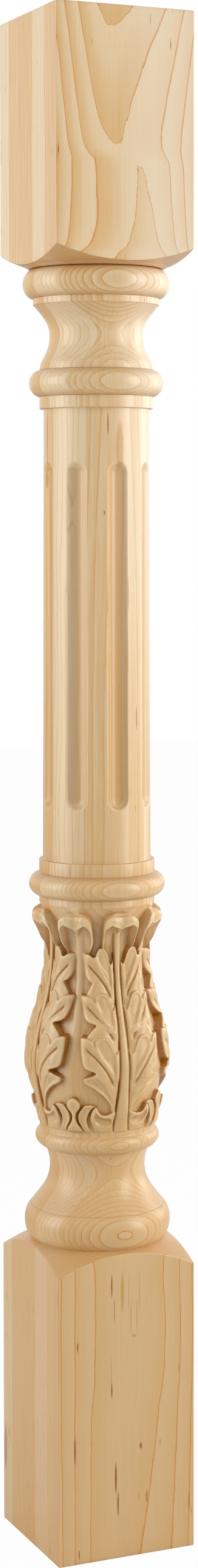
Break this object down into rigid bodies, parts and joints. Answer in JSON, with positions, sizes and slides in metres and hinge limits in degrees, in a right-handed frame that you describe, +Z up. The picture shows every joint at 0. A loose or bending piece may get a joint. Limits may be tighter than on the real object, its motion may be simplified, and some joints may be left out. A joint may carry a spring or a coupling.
{
  "type": "newel post",
  "caption": "Square stair newel post turned from one blank, with beads and coves, a fluted round shaft and a bulb carved with acanthus leaves, in clear-finished pale wood.",
  "frame": {"origin": "centre of the flat underside of the lower block, where the post meets the floor or stair", "axes": "+Z up along the post; X and Y square to the flat faces of the blocks"},
  "size_m": [0.1016, 0.1016, 1.054],
  "materials": {
    "maple": "clear satin"
  },
  "bodies": {
    "root": {"newel_post": "maple"}
  },
  "joints": []
}
